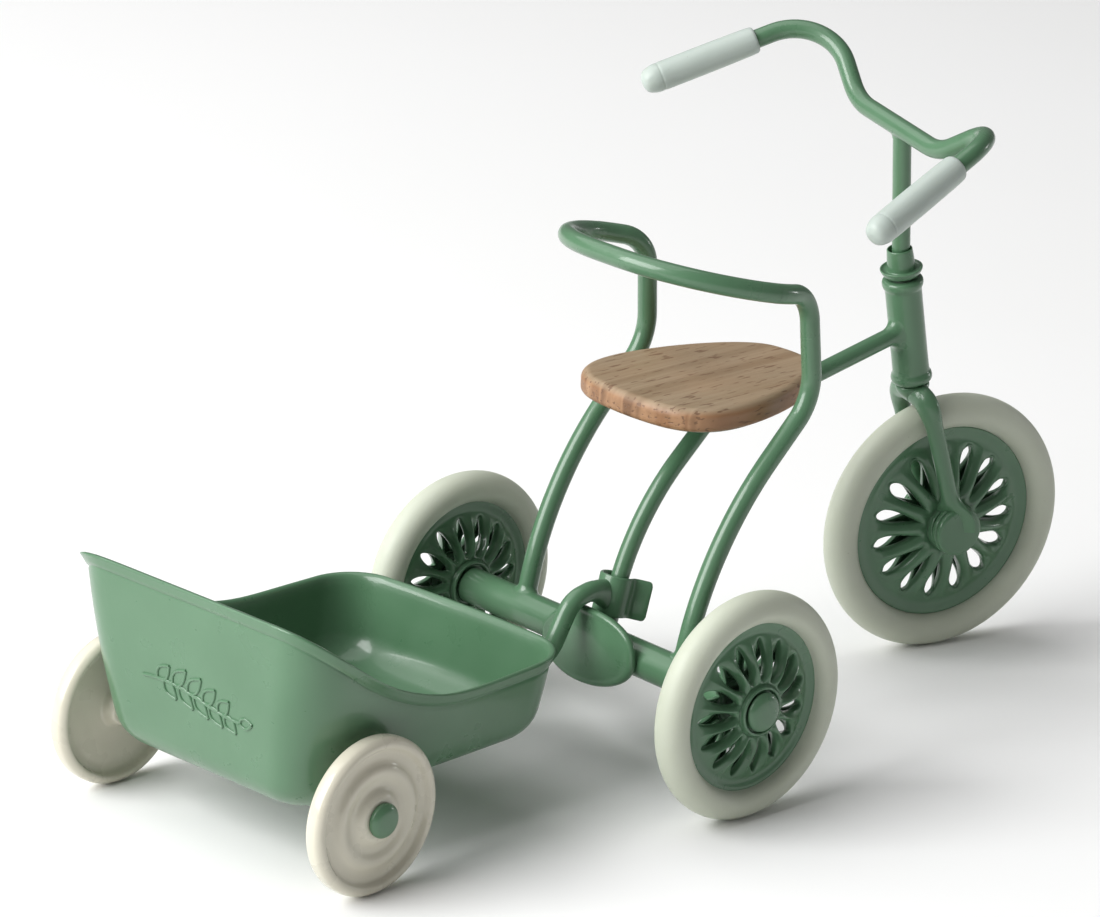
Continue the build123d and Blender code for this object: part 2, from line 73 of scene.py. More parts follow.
# The steering axis runs up through the head tube.
steer_at, steer_axis = joint_at("steering"), joint_axis("steering")


def towards(axis, origin, scale=MM):
    """A frame at origin whose Z runs along axis and whose X points as far forward as it can."""
    z = Vector(axis).normalized()
    y = z.cross(Vector((1, 0, 0)))
    y = y.normalized() if y.length > 0.1 else Vector((0, 1, 0))
    x = y.cross(z)
    return (Matrix.Translation(origin) @ Matrix((x, y, z)).transposed().to_4x4()
            @ Matrix.Scale(scale, 4))


HEAD_AT = towards(steer_axis, steer_at)


def wheel_at(name, outward=1):
    """A frame at a wheel's centre whose Y runs along its axle, away from the middle."""
    y = joint_axis(name) * outward
    z = (UP - y * UP.dot(y)).normalized()
    x = y.cross(z)
    return (Matrix.Translation(joint_at(name)) @ Matrix((x, y, z)).transposed().to_4x4()
            @ Matrix.Scale(MM, 4))


# ---- camera ----------------------------------------------------------------
VIEW_AZIMUTH = math.radians(47.65)
VIEW_DOWN = math.radians(19.27)
VIEW_ROLL = math.radians(2.04)
AIM = Vector((-0.262, 0.419, 2.596)) * REAR_R
DISTANCE = 42.69 * REAR_R
FOCAL_IN_FRAMES = 5000 / 1100


def camera():
    data = bpy.data.cameras.new("camera")
    data.sensor_width = 36
    data.lens = 36 * FOCAL_IN_FRAMES
    data.clip_start, data.clip_end = 0.01, 20
    ahead = Vector((math.cos(VIEW_DOWN) * math.cos(VIEW_AZIMUTH),
                    math.cos(VIEW_DOWN) * math.sin(VIEW_AZIMUTH), -math.sin(VIEW_DOWN)))
    right = ahead.cross(UP).normalized()
    up = right.cross(ahead)
    c, s = math.cos(VIEW_ROLL), math.sin(VIEW_ROLL)
    right, up = c * right + s * up, c * up - s * right
    cam = bpy.data.objects.new("camera", data)
    bpy.context.scene.collection.objects.link(cam)
    place = Matrix((right, up, -ahead)).transposed().to_4x4()
    place.translation = REAR_GROUND + AIM - ahead * DISTANCE
    cam.matrix_world = place
    bpy.context.scene.camera = cam


camera()


# ---- materials -------------------------------------------------------------
def srgb(red, green, blue):
    """Linear colour from the 0-255 values that a colour chart gives."""
    return tuple(((v / 255 + 0.055) / 1.055) ** 2.4 if v > 10 else v / 255 / 12.92
                 for v in (red, green, blue)) + (1.0,)


class Nodes:
    """Short names for building one node material."""

    def __init__(self, name):
        self.material = bpy.data.materials.new(name)
        self.material.use_nodes = True
        self.tree = self.material.node_tree
        self.shader = self.tree.nodes["Principled BSDF"]
        self.place = self.add("ShaderNodeTexCoord").outputs["Object"]

    def add(self, kind, **inputs):
        node = self.tree.nodes.new(kind)
        for key, value in inputs.items():
            self.feed(node, key.replace("_", " "), value)
        return node

    def feed(self, node, key, value):
        if isinstance(value, bpy.types.NodeSocket):
            self.tree.links.new(value, node.inputs[key])
        else:
            node.inputs[key].default_value = value

    def noise(self, scale, detail=3.0, roughness=0.5, stretch=(1, 1, 1), distortion=0.0):
        """Noise at so many features per metre."""
        mapping = self.add("ShaderNodeMapping", Vector=self.place, Scale=stretch)
        node = self.add("ShaderNodeTexNoise", Vector=mapping.outputs["Vector"], Scale=scale,
                        Detail=detail, Roughness=roughness, Distortion=distortion)
        return node.outputs["Fac"]

    def ramp(self, factor, *stops):
        """stops are (position, colour or grey)."""
        node = self.add("ShaderNodeValToRGB", Fac=factor)
        elements = node.color_ramp.elements
        while len(elements) < len(stops):
            elements.new(0.5)
        for element, (position, value) in zip(elements, stops):
            element.position = position
            element.color = value if isinstance(value, tuple) else (value, value, value, 1)
        return node.outputs["Color"]

    def mix(self, factor, first, second):
        node = self.tree.nodes.new("ShaderNodeMix")
        node.data_type = "RGBA"
        for socket, value in ((node.inputs[0], factor), (node.inputs[6], first),
                              (node.inputs[7], second)):
            if isinstance(value, bpy.types.NodeSocket):
                self.tree.links.new(value, socket)
            else:
                socket.default_value = value
        return node.outputs[2]

    def bump(self, height, distance, strength=1.0, under=None):
        node = self.add("ShaderNodeBump", Height=height, Distance=distance, Strength=strength)
        if under is not None:
            self.feed(node, "Normal", under)
        return node.outputs["Normal"]

    def finish(self, **inputs):
        for key, value in inputs.items():
            self.feed(self.shader, key.replace("_", " "), value)
        return self.material


def enamel(name, light, deep, roughness):
    """Sprayed enamel: a slow drift of colour, orange peel, and specks of dust under the gloss."""
    n = Nodes(name)
    drift = n.noise(55, detail=2)
    colour = n.mix(n.ramp(drift, (0.35, 0.0), (0.68, 1.0)), deep, light)
    speck = n.ramp(n.noise(2600, detail=1), (0.74, 0.0), (0.8, 0.2))
    colour = n.mix(speck, colour, deep)
    gloss = n.ramp(n.noise(210, detail=4), (0.3, roughness - 0.04), (0.7, roughness + 0.07))
    peel = n.bump(n.noise(520, detail=2), 0.00006, 0.45)
    dents = n.bump(n.noise(90, detail=1), 0.0003, 0.12, under=peel)
    return n.finish(Base_Color=colour, Roughness=gloss, Normal=dents, Coat_Weight=0.4,
                    Coat_Roughness=0.07, IOR=1.45)


def rubber(name, light, deep, roughness, glow, radius):
    """Moulded rubber: faintly mottled and matt, and light sinks a little way in."""
    n = Nodes(name)
    colour = n.mix(n.ramp(n.noise(70, detail=4), (0.3, 0.0), (0.7, 1.0)), deep, light)
    speck = n.ramp(n.noise(1900, detail=2), (0.74, 0.0), (0.8, 0.5))
    colour = n.mix(speck, colour, srgb(140, 140, 120))
    matt = n.ramp(n.noise(400, detail=3), (0.3, roughness - 0.05), (0.7, roughness + 0.08))
    skin = n.bump(n.noise(1500, detail=3), 0.00004, 0.5)
    waves = n.bump(n.noise(120, detail=1), 0.0003, 0.2, under=skin)
    n.finish(Base_Color=colour, Roughness=matt, Normal=waves, Subsurface_Weight=glow,
             Subsurface_Scale=radius)
    n.shader.inputs["Subsurface Radius"].default_value = (1.0, 0.95, 0.8)
    return n.material


def beech(name):
    """Pale beech, its grain fore and aft: broad bands, stronger on the edge, and dark rays."""
    n = Nodes(name)
    facing = n.add("ShaderNodeSeparateXYZ", Vector=n.add("ShaderNodeTexCoord").outputs["Normal"])
    flat = n.ramp(facing.outputs["Z"], (0.35, 0.0), (0.85, 1.0))
    bands = n.noise(60, detail=2, roughness=0.5, stretch=(0.07, 3.0, 0.3), distortion=0.15)
    top = n.ramp(bands, (0.38, srgb(142, 121, 95)), (0.48, srgb(162, 141, 115)),
                 (0.62, srgb(152, 131, 104)))
    edge = n.ramp(bands, (0.38, srgb(116, 82, 54)), (0.46, srgb(162, 123, 89)),
                  (0.54, srgb(138, 99, 67)), (0.64, srgb(170, 131, 96)))
    colour = n.mix(flat, edge, top)
    fine = n.noise(150, detail=4, stretch=(0.3, 7.0, 6.0))
    colour = n.mix(n.ramp(fine, (0.42, 0.0), (0.78, 0.3)), colour, srgb(124, 96, 70))
    rays = n.noise(900, detail=1, stretch=(0.3, 1.6, 2.0))
    flecks = n.ramp(rays, (0.62, 0.0), (0.68, 0.75))
    colour = n.mix(flecks, colour, srgb(104, 74, 52))
    patches = n.ramp(n.noise(45, detail=2), (0.42, 0.0), (0.7, 0.3))
    colour = n.mix(patches, colour, srgb(170, 130, 92))
    satin = n.ramp(fine, (0.3, 0.42), (0.7, 0.58))
    grain = n.bump(fine, 0.0001, 0.4)
    pores = n.bump(flecks, -0.0001, 0.5, under=grain)
    return n.finish(Base_Color=colour, Roughness=satin, Normal=pores, Coat_Weight=0.08,
                    Coat_Roughness=0.4)


def steel(name):
    """Drawn bright steel."""
    n = Nodes(name)
    lines = n.noise(300, detail=3, stretch=(1, 0.08, 1))
    colour = n.mix(lines, srgb(150, 152, 150), srgb(196, 198, 197))
    rough = n.ramp(lines, (0.3, 0.24), (0.7, 0.42))
    return n.finish(Base_Color=colour, Roughness=rough, Metallic=1.0,
                    Normal=n.bump(lines, 0.00003, 0.4))


MATERIALS = {
    "green_enamel": enamel("green_enamel", srgb(85, 122, 92), srgb(79, 116, 86), 0.3),
    "cream_enamel": enamel("cream_enamel", srgb(211, 207, 190), srgb(206, 201, 184), 0.28),
    "tyre_rubber": rubber("tyre_rubber", srgb(196, 201, 185), srgb(190, 195, 178),
                          roughness=0.5, glow=0.2, radius=0.002),
    "grip_rubber": rubber("grip_rubber", srgb(180, 190, 184), srgb(173, 184, 177),
                          roughness=0.4, glow=0.3, radius=0.003),
    "beech": beech("beech"),
    "bright_steel": steel("bright_steel"),
}
SLOT_OF = {part["node"]: part["material_slot"] for part in frame["record"]["subparts"]}
for node_name, node_object in frame["nodes"].items():
    node_object.data.materials.clear()
    node_object.data.materials.append(MATERIALS[SLOT_OF[node_name]])


# ---- mesh helpers ----------------------------------------------------------
class Shape:
    """Points and faces in one group's own millimetres."""

    def __init__(self):
        self.points, self.faces = [], []

    def add(self, points, faces):
        base = len(self.points)
        self.points += [Vector(p) for p in points]
        self.faces += [tuple(i + base for i in face) for face in faces]
        return base

    def rings(self, rings, close=True, cap_start=False, cap_end=False):
        """Quads between rings of the same number of points."""
        count = len(rings[0])
        points = [p for ring in rings for p in ring]
        faces = []
        for a in range(len(rings) - 1):
            for b in range(count if close else count - 1):
                c = (b + 1) % count
                faces.append((a * count + b, a * count + c,
                              (a + 1) * count + c, (a + 1) * count + b))
        if cap_start:
            points.append(sum(map(Vector, rings[0]), Vector()) / count)
            faces += [(len(points) - 1, (b + 1) % count, b) for b in range(count)]
        if cap_end:
            last = (len(rings) - 1) * count
            points.append(sum(map(Vector, rings[-1]), Vector()) / count)
            faces += [(len(points) - 1, last + b, last + (b + 1) % count) for b in range(count)]
        return self.add(points, faces)

    def moved(self, matrix):
        result = Shape()
        result.add([matrix @ p for p in self.points], self.faces)
        return result

    def join(self, other):
        self.add(other.points, other.faces)
        return self


def piece(name, shape, place, body, slot, nodes=(), sharp=50, thickness=0):
    """Makes one Blender object of a shape, gives it its body and its finish, and hides the nodes it stands in for.
    """
    mesh = bpy.data.meshes.new(name)
    mesh.from_pydata([place @ p for p in shape.points], [], shape.faces)
    bm = bmesh.new()
    bm.from_mesh(mesh)
    bmesh.ops.remove_doubles(bm, verts=bm.verts, dist=0.003 * MM)
    bmesh.ops.dissolve_degenerate(bm, edges=bm.edges, dist=0.001 * MM)
    bmesh.ops.recalc_face_normals(bm, faces=bm.faces)
    bm.to_mesh(mesh)
    bm.free()
    mesh.polygons.foreach_set("use_smooth", [True] * len(mesh.polygons))
    mesh.set_sharp_from_angle(angle=math.radians(sharp))
    mesh.materials.append(MATERIALS[slot])
    obj = bpy.data.objects.new(name, mesh)
    bpy.context.scene.collection.objects.link(obj)
    if thickness:
        wall = obj.modifiers.new("wall", "SOLIDIFY")
        wall.thickness, wall.offset = thickness * MM, -1
    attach(obj, body)
    if nodes:
        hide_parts(*nodes)
    return obj


def rounded(corners, steps=5):
    """A profile with eased corners, each (radius, height) or (radius, height, ease)."""
    result = []
    for i, corner in enumerate(corners):
        at = Vector(corner[:2])
        ease = corner[2] if len(corner) > 2 else 0
        if not ease or i in (0, len(corners) - 1):
            result.append(at)
            continue
        before, after = Vector(corners[i - 1][:2]), Vector(corners[i + 1][:2])
        start = at + (before - at).normalized() * min(ease, 0.5 * (before - at).length)
        end = at + (after - at).normalized() * min(ease, 0.5 * (after - at).length)
        for k in range(steps + 1):
            t = k / steps
            result.append(start * (1 - t) ** 2 + at * 2 * t * (1 - t) + end * t ** 2)
    return result


def lathe(profile, count=72, along="y"):
    """A surface of revolution about Y or Z; a closed profile makes a closed ring."""
    shape = Shape()
    rings = []
    for radius, height in profile:
        radius = max(radius, 0.0005)
        ring = []
        for i in range(count):
            a = 2 * math.pi * i / count
            if along == "y":
                ring.append((radius * math.cos(a), height, radius * math.sin(a)))
            else:
                ring.append((radius * math.cos(a), radius * math.sin(a), height))
        rings.append(ring)
    shape.rings(rings)
    return shape


def sweep(points, radii, count=28, flat=None):
    """A bar through points.  radii are its half sizes (across, through) at each point."""
    points = [Vector(p) for p in points]
    tangents = []
    for i, p in enumerate(points):
        before, after = points[max(i - 1, 0)], points[min(i + 1, len(points) - 1)]
        tangents.append((after - before).normalized())
    across = (flat or Vector((0, 1, 0))).cross(tangents[0]).normalized()
    rings = []
    for p, tangent, (wide, thick) in zip(points, tangents, radii):
        across = (across - tangent * across.dot(tangent)).normalized()
        through = tangent.cross(across)
        ring = []
        for k in range(count):
            a = 2 * math.pi * k / count
            ring.append(p + across * wide * math.cos(a) + through * thick * math.sin(a))
        rings.append(ring)
    shape = Shape()
    shape.rings(rings, cap_start=True, cap_end=True)
    return shape


def curve_points(controls, steps=10):
    """A smooth line that starts and ends at its outer controls and is drawn by the inner ones."""
    controls = [Vector(c) for c in controls]
    inner_mids = [(a + b) / 2 for a, b in zip(controls[1:-2], controls[2:-1])]
    mids = [controls[0]] + inner_mids + [controls[-1]]
    result = []
    for start, corner, end in zip(mids[:-1], controls[1:-1], mids[1:]):
        for k in range(steps):
            t = k / steps
            result.append(start * (1 - t) ** 2 + corner * 2 * t * (1 - t) + end * t ** 2)
    return result + [controls[-1]]


def fillet_ring(bar_at, bar_along, bar_r, tube_at, tube_along, tube_r, size, count=48):
    """The fillet of weld and paint where a bar meets a round tube."""
    at, along = Vector(bar_at), Vector(bar_along).normalized()
    centre, axis = Vector(tube_at), Vector(tube_along).normalized()
    first = along.cross(axis).normalized()
    second = along.cross(first)
    rows = []
    for k in range(count):
        a = 2 * math.pi * k / count
        side = first * math.cos(a) + second * math.sin(a)
        start = at + side * bar_r
        flat_start = (start - centre) - axis * (start - centre).dot(axis)
        flat_along = along - axis * along.dot(axis)
        qa = flat_along.dot(flat_along)
        qb = 2 * flat_start.dot(flat_along)
        qc = flat_start.dot(flat_start) - tube_r ** 2
        root = math.sqrt(max(qb * qb - 4 * qa * qc, 0))
        meet = start + along * ((-qb + root) / (2 * qa))
        on_bar = meet + along * size - side * 0.04
        outward = (meet - centre) - axis * (meet - centre).dot(axis)
        normal = outward.normalized()
        away = (side - normal * side.dot(normal)).normalized()
        spread = meet + away * size
        radial = (spread - centre) - axis * (spread - centre).dot(axis)
        on_tube = spread - radial + radial.normalized() * (tube_r - 0.04)
        inside = meet - normal * 0.4 - side * 0.4
        row = [on_bar * (1 - t) ** 2 + meet * 2 * t * (1 - t) + on_tube * t ** 2
               for t in (0, 0.14, 0.28, 0.42, 0.58, 0.72, 0.86, 1)]
        rows.append(row + [inside])
    shape = Shape()
    columns = len(rows[0])
    points = [p for row in rows for p in row]
    faces = []
    for a in range(count):
        b = (a + 1) % count
        for c in range(columns):
            d = (c + 1) % columns
            faces.append((a * columns + c, a * columns + d, b * columns + d, b * columns + c))
    shape.add(points, faces)
    return shape


def smooth_step(t):
    t = min(max(t, 0.0), 1.0)
    return t * t * (3 - 2 * t)


# ---- slotted wheels --------------------------------------------------------
SLOTS = 15
HUB_RING_R = 4.4
BUSH_R = 2.3
RIDGE = 0.85                # how far a spoke stands above the edges of its slots
LIP = 1.2                   # depth of the turned-in edge of a slot
ARC_STEPS = 10
SIDE_STEPS = 13


def slot_outline(rim, shrink, leaf):
    """A leaf round the slot, as (distance from the axle, across).

    leaf is (half width as a share of the rim, lean towards the rim, bluntness of its ends)."""
    inner_at, outer_at = 0.345 * rim + shrink, 0.825 * rim - shrink
    middle, reach = (inner_at + outer_at) / 2, (outer_at - inner_at) / 2
    wide, lean, blunt = leaf
    angles = []
    for start, end, steps in ((68, -68, ARC_STEPS), (-68, -150, SIDE_STEPS),
                              (-150, -210, ARC_STEPS), (-210, -292, SIDE_STEPS)):
        angles += [math.radians(start + (end - start) * k / steps) for k in range(steps)]
    result = []
    for a in angles:
        t = (1 + math.cos(a)) / 2
        half = (wide * rim - 0.75 * shrink) * max(math.sin(math.pi * t ** lean), 0) ** blunt
        result.append((middle + reach * math.cos(a), math.copysign(half, math.sin(a))))
    return result


def sector_edge(inner, outer):
    """The same number of points round one spoke-to-spoke sector."""
    half = math.pi / SLOTS
    result = []
    for k in range(ARC_STEPS):
        a = half - 2 * half * k / ARC_STEPS
        result.append((outer * math.cos(a), outer * math.sin(a)))
    for k in range(SIDE_STEPS):
        r = outer + (inner - outer) * k / SIDE_STEPS
        result.append((r * math.cos(half), -r * math.sin(half)))
    for k in range(ARC_STEPS):
        a = -half + 2 * half * k / ARC_STEPS
        result.append((inner * math.cos(a), inner * math.sin(a)))
    for k in range(SIDE_STEPS):
        r = inner + (outer - inner) * k / SIDE_STEPS
        result.append((r * math.cos(half), r * math.sin(half)))
    return result


def slotted_disc(rim, edge_y, hub_y, leaf):
    """One pressed disc: a flat band, a fan of raised spokes between lipped slots, a hub ring."""
    inner, outer = HUB_RING_R + 0.2, 0.86 * rim
    band_y = edge_y - 0.35

    def face_height(r):
        return band_y + (hub_y - 0.45 - band_y) * smooth_step((outer - r) / (outer - inner)) ** 0.8

    def ridge_height(r):
        t = min(max((r - inner) / (outer - inner), 0), 1)
        return RIDGE * math.sin(math.pi * t ** 0.8) ** 0.7

    shape = Shape()
    edge = sector_edge(inner, outer)
    for i in range(SLOTS):
        turn = 2 * math.pi * i / SLOTS
        c, s = math.cos(turn), math.sin(turn)
        rings = []
        for shrink, drop in ((0.36, LIP), (0.33, 0.8 * LIP), (0.27, 0.45 * LIP),
                             (0.12, 0.14 * LIP)):
            rings.append([(u, v, face_height(math.hypot(u, v)) - drop) for u, v in
                          slot_outline(rim, shrink, leaf)])
        base = slot_outline(rim, 0, leaf)
        for f in (0, 0.12, 0.3, 0.5, 0.75, 1):
            ring = []
            for (u0, v0), (u1, v1) in zip(base, edge):
                u, v = u0 + (u1 - u0) * f, v0 + (v1 - v0) * f
                r = math.hypot(u, v)
                ring.append((u, v, face_height(r) + ridge_height(r) * math.sin(f * math.pi / 2)))
            rings.append(ring)
        shape.rings([[(u * c - v * s, y, u * s + v * c) for u, v, y in ring] for ring in rings])
    around = SLOTS * ARC_STEPS
    hub = rounded([(inner, hub_y - 0.45), (HUB_RING_R, hub_y - 0.2, 0.2),
                   (HUB_RING_R - 0.05, hub_y + 0.35, 0.2), (HUB_RING_R - 0.3, hub_y + 0.55, 0.25),
                   (HUB_RING_R - 0.6, hub_y + 0.4, 0.2), (HUB_RING_R - 0.7, hub_y - 0.3, 0.2),
                   (BUSH_R, hub_y - 0.3)])
    band = rounded([(outer, band_y), (0.9 * rim, band_y, 0.5), (rim - 0.5, edge_y, 0.4),
                    (rim, edge_y, 0.2), (rim, 0.1)])
    for profile in (hub, band):
        rings = []
        for radius, y in profile:
            angles = [math.pi / SLOTS + 2 * math.pi * k / around for k in range(around)]
            rings.append([(radius * math.cos(a), y, radius * math.sin(a)) for a in angles])
        shape.rings(rings)
    return shape


def flipped(shape):
    return shape.moved(Matrix.Diagonal((1, -1, 1, 1)))


DISC_WALL = 0.4
REAR_RIM_R, REAR_EDGE_Y, REAR_HUB_Y = 14.8, 1.15, 3.3
FRONT_RIM_R, FRONT_EDGE_Y, FRONT_HUB_Y = 18.3, 0.8, 3.3
REAR_LEAF, FRONT_LEAF = (0.084, 1.1, 0.58), (0.078, 1.8, 0.52)

for side, name in ((1, "rear_left"), (-1, "rear_right")):
    place = wheel_at(name + "_spin", side)
    outer_face = slotted_disc(REAR_RIM_R, REAR_EDGE_Y, REAR_HUB_Y, REAR_LEAF)
    piece(name + "_outer_pressing", outer_face, place, name + "_wheel", "green_enamel",
          [name + "_outer_disc"], thickness=DISC_WALL)
    piece(name + "_inner_pressing", flipped(outer_face), place, name + "_wheel", "green_enamel",
          [name + "_inner_disc"], thickness=DISC_WALL)
place = wheel_at("front_wheel_spin")
front_face = slotted_disc(FRONT_RIM_R, FRONT_EDGE_Y, FRONT_HUB_Y, FRONT_LEAF)
piece("front_left_pressing", front_face, place, "front_wheel", "green_enamel",
      ["front_left_disc"], thickness=DISC_WALL)
piece("front_right_pressing", flipped(front_face), place, "front_wheel", "green_enamel",
      ["front_right_disc"], thickness=DISC_WALL)


# ---- tyres -----------------------------------------------------------------
TYRE_ARC_STEPS = 28
TYRE_SEAT_DEPTH = 0.25


def tyre_profile(radius, section, inner_reach, seat):
    """A round tyre whose inner side closes in on the edge of the discs."""
    middle = radius - section
    side = []
    lip = math.acos((seat - middle) / inner_reach)
    for k in range(TYRE_ARC_STEPS + 1):
        a = lip * k / TYRE_ARC_STEPS
        reach = section if a <= math.pi / 2 else inner_reach
        side.append((middle + reach * math.cos(a), section * math.sin(a)))
    seat_y = side[-1][1] - 0.35
    foot = seat - TYRE_SEAT_DEPTH
    profile = [(r, -y) for r, y in side[:0:-1]] + side
    return [(foot, -seat_y)] + profile + [(foot, seat_y), (foot, -seat_y)]


REAR_TYRE = tyre_profile(20.0, 3.18, 2.25, REAR_RIM_R - 0.05)
FRONT_TYRE = tyre_profile(24.4, 3.12, 3.05, FRONT_RIM_R - 0.02)
for name, joint, body, profile in (
        ("rear_left", "rear_left_spin", "rear_left_wheel", REAR_TYRE),
        ("rear_right", "rear_right_spin", "rear_right_wheel", REAR_TYRE),
        ("front", "front_wheel_spin", "front_wheel", FRONT_TYRE)):
    piece(name + "_round_tyre", lathe(profile, 144), wheel_at(joint), body, "tyre_rubber",
          [name + "_tyre"], sharp=60)


# ---- hub caps --------------------------------------------------------------
END_GAP = 0.35              # play at each side of a wheel
EYE_ROOM = 1.3              # for a fork blade's eye, between the front hub and its cap
REAR_CAP_Y = 3.2 + END_GAP
FRONT_CAP_Y = 4.0 + END_GAP + EYE_ROOM
TRAILER_CAP_Y = 2.3 + END_GAP


def pair_of_caps(name, profile, left_at, right_at, body, nodes):
    cap = lathe(rounded(profile), 64)
    both = cap.moved(left_at).join(cap.moved(right_at))
    piece(name, both, Matrix.Identity(4), body, "green_enamel", nodes)


pair_of_caps("rear_domed_caps",
             [(0, REAR_CAP_Y), (3.2, REAR_CAP_Y), (3.45, REAR_CAP_Y + 0.2, 0.2),
              (3.4, REAR_CAP_Y + 0.65, 0.4), (2.8, REAR_CAP_Y + 1.2, 0.6),
              (1.5, REAR_CAP_Y + 1.5, 1.0), (0, REAR_CAP_Y + 1.55)],
             wheel_at("rear_left_spin"), wheel_at("rear_right_spin", -1), "frame",
             ["rear_hub_caps"])
pair_of_caps("front_disc_caps",
             [(0, FRONT_CAP_Y), (4.4, FRONT_CAP_Y), (4.62, FRONT_CAP_Y + 0.2, 0.2),
              (4.58, FRONT_CAP_Y + 0.85, 0.4), (4.1, FRONT_CAP_Y + 1.22, 0.5),
              (2.4, FRONT_CAP_Y + 1.36, 1.0), (0, FRONT_CAP_Y + 1.4)],
             wheel_at("front_wheel_spin"), wheel_at("front_wheel_spin", -1), "fork",
             ["front_hub_caps"])
pair_of_caps("trailer_button_caps",
             [(0, TRAILER_CAP_Y - 0.3), (2.8, TRAILER_CAP_Y - 0.3), (3.0, TRAILER_CAP_Y, 0.2),
              (2.95, TRAILER_CAP_Y + 0.6, 0.4), (2.3, TRAILER_CAP_Y + 1.2, 0.7),
              (1.2, TRAILER_CAP_Y + 1.45, 0.8), (0, TRAILER_CAP_Y + 1.5)],
             wheel_at("trailer_left_spin"), wheel_at("trailer_right_spin", -1), "trailer",
             ["trailer_hub_caps"])

# ---- trailer wheels --------------------------------------------------------
TRAILER_HUB_R = 1.16
EDGE_R = TRAILER_AXLE_Z
EDGE_Y = 1.86
trailer_profile = rounded([
    (TRAILER_HUB_R, 2.2), (2.9, 2.35, 0.4), (3.9, 2.2, 0.7), (5.0, 1.2, 0.8), (5.9, 1.12, 0.5),
    (7.3, 1.75, 0.8), (8.3, 1.7, 0.6), (9.4, 0.85, 0.8), (EDGE_R - 2.5, 0.8, 0.5),
    (EDGE_R - 2.1, 1.35, 0.35), (EDGE_R - 1.7, EDGE_Y - 0.05, 0.35), (EDGE_R - 0.9, EDGE_Y, 0.5),
    (EDGE_R - 0.08, EDGE_Y - 0.75, 0.8), (EDGE_R, 0, 0.8), (EDGE_R - 0.08, 0.75 - EDGE_Y, 0.8),
    (EDGE_R - 0.9, -EDGE_Y, 0.5), (EDGE_R - 1.6, -EDGE_Y, 0.4), (EDGE_R - 2.1, -0.5, 0.5),
    (EDGE_R - 3.2, -0.15, 0.6), (6.2, -0.1, 0.6), (3.4, -0.3, 0.4), (2.6, -2.4, 0.5),
    (2.3, -2.6, 0.3), (TRAILER_HUB_R, -2.6),
], 6)
for side, name in ((1, "trailer_left"), (-1, "trailer_right")):
    wheel = lathe(trailer_profile + trailer_profile[:1], 120)
    piece(name + "_pressed_wheel", wheel, wheel_at(name + "_spin", side), name + "_wheel",
          "cream_enamel", [name + "_wheel"])

# ---- tub -------------------------------------------------------------------
TUB_SHEET = 0.8
TUB_FLOOR = 12.4
TUB_FOOT_R = 5.0
TUB_LEVELS = [
    # z, rear x, front x, half widths at the rear, middle and front, corner radius
    (TUB_FLOOR, -8.9, 47.1, 23.6, 24.7, 24.8, 8.5),
    (27.0, -11.0, 50.3, 27.2, 27.6, 26.2, 9.0),
    (50.0, -12.2, 52.0, 30.4, 29.6, 24.5, 9.0),
]
RIM_LINE = [(-16.0, 48.9, -0.6), (2.0, 36.0, -0.65), (18.0, 28.8, -0.27), (34.0, 27.5, 0.0),
            (60.0, 28.0, 0.05)]
HEM = 2.3                   # height of the rolled hem
END_STEPS, SIDE_PARTS, CORNER_STEPS = 30, 52, 12
AXLE_RIDGE = TRAILER_AXLE_Z + 1.4 - TUB_FLOOR


def rim_height(x):
    for (x0, z0, m0), (x1, z1, m1) in zip(RIM_LINE, RIM_LINE[1:]):
        if x <= x1 or x1 == RIM_LINE[-1][0]:
            w = x1 - x0
            t = (x - x0) / w
            return ((2 * t ** 3 - 3 * t ** 2 + 1) * z0 + (t ** 3 - 2 * t ** 2 + t) * w * m0
                    + (3 * t ** 2 - 2 * t ** 3) * z1 + (t ** 3 - t ** 2) * w * m1)


def level_at(z):
    z0, z1, z2 = (level[0] for level in TUB_LEVELS)
    a = (z - z1) * (z - z2) / ((z0 - z1) * (z0 - z2))
    b = (z - z0) * (z - z2) / ((z1 - z0) * (z1 - z2))
    c = (z - z0) * (z - z1) / ((z2 - z0) * (z2 - z1))
    return [a * p + b * q + c * r for p, q, r in zip(*(level[1:] for level in TUB_LEVELS))]


def circle_through(p, q, r):
    d = 2 * (p.x * (q.y - r.y) + q.x * (r.y - p.y) + r.x * (p.y - q.y))
    ux = (p.length_squared * (q.y - r.y) + q.length_squared * (r.y - p.y)
          + r.length_squared * (p.y - q.y)) / d
    uy = (p.length_squared * (r.x - q.x) + q.length_squared * (p.x - r.x)
          + r.length_squared * (q.x - p.x)) / d
    centre = Vector((ux, uy))
    return centre, (p - centre).length


def corner_centre(first, second, radius, near):
    """The centre of a corner arc inside two long arcs."""
    (c0, r0), (c1, r1) = first, second
    r0, r1 = r0 - radius, r1 - radius
    gap = c1 - c0
    d = gap.length
    along = (d * d + r0 * r0 - r1 * r1) / (2 * d)
    off = math.sqrt(max(r0 * r0 - along * along, 0))
    middle = c0 + gap * (along / d)
    side = Vector((-gap.y, gap.x)) * (off / d)
    return min((middle + side, middle - side), key=lambda p: (p - near).length)


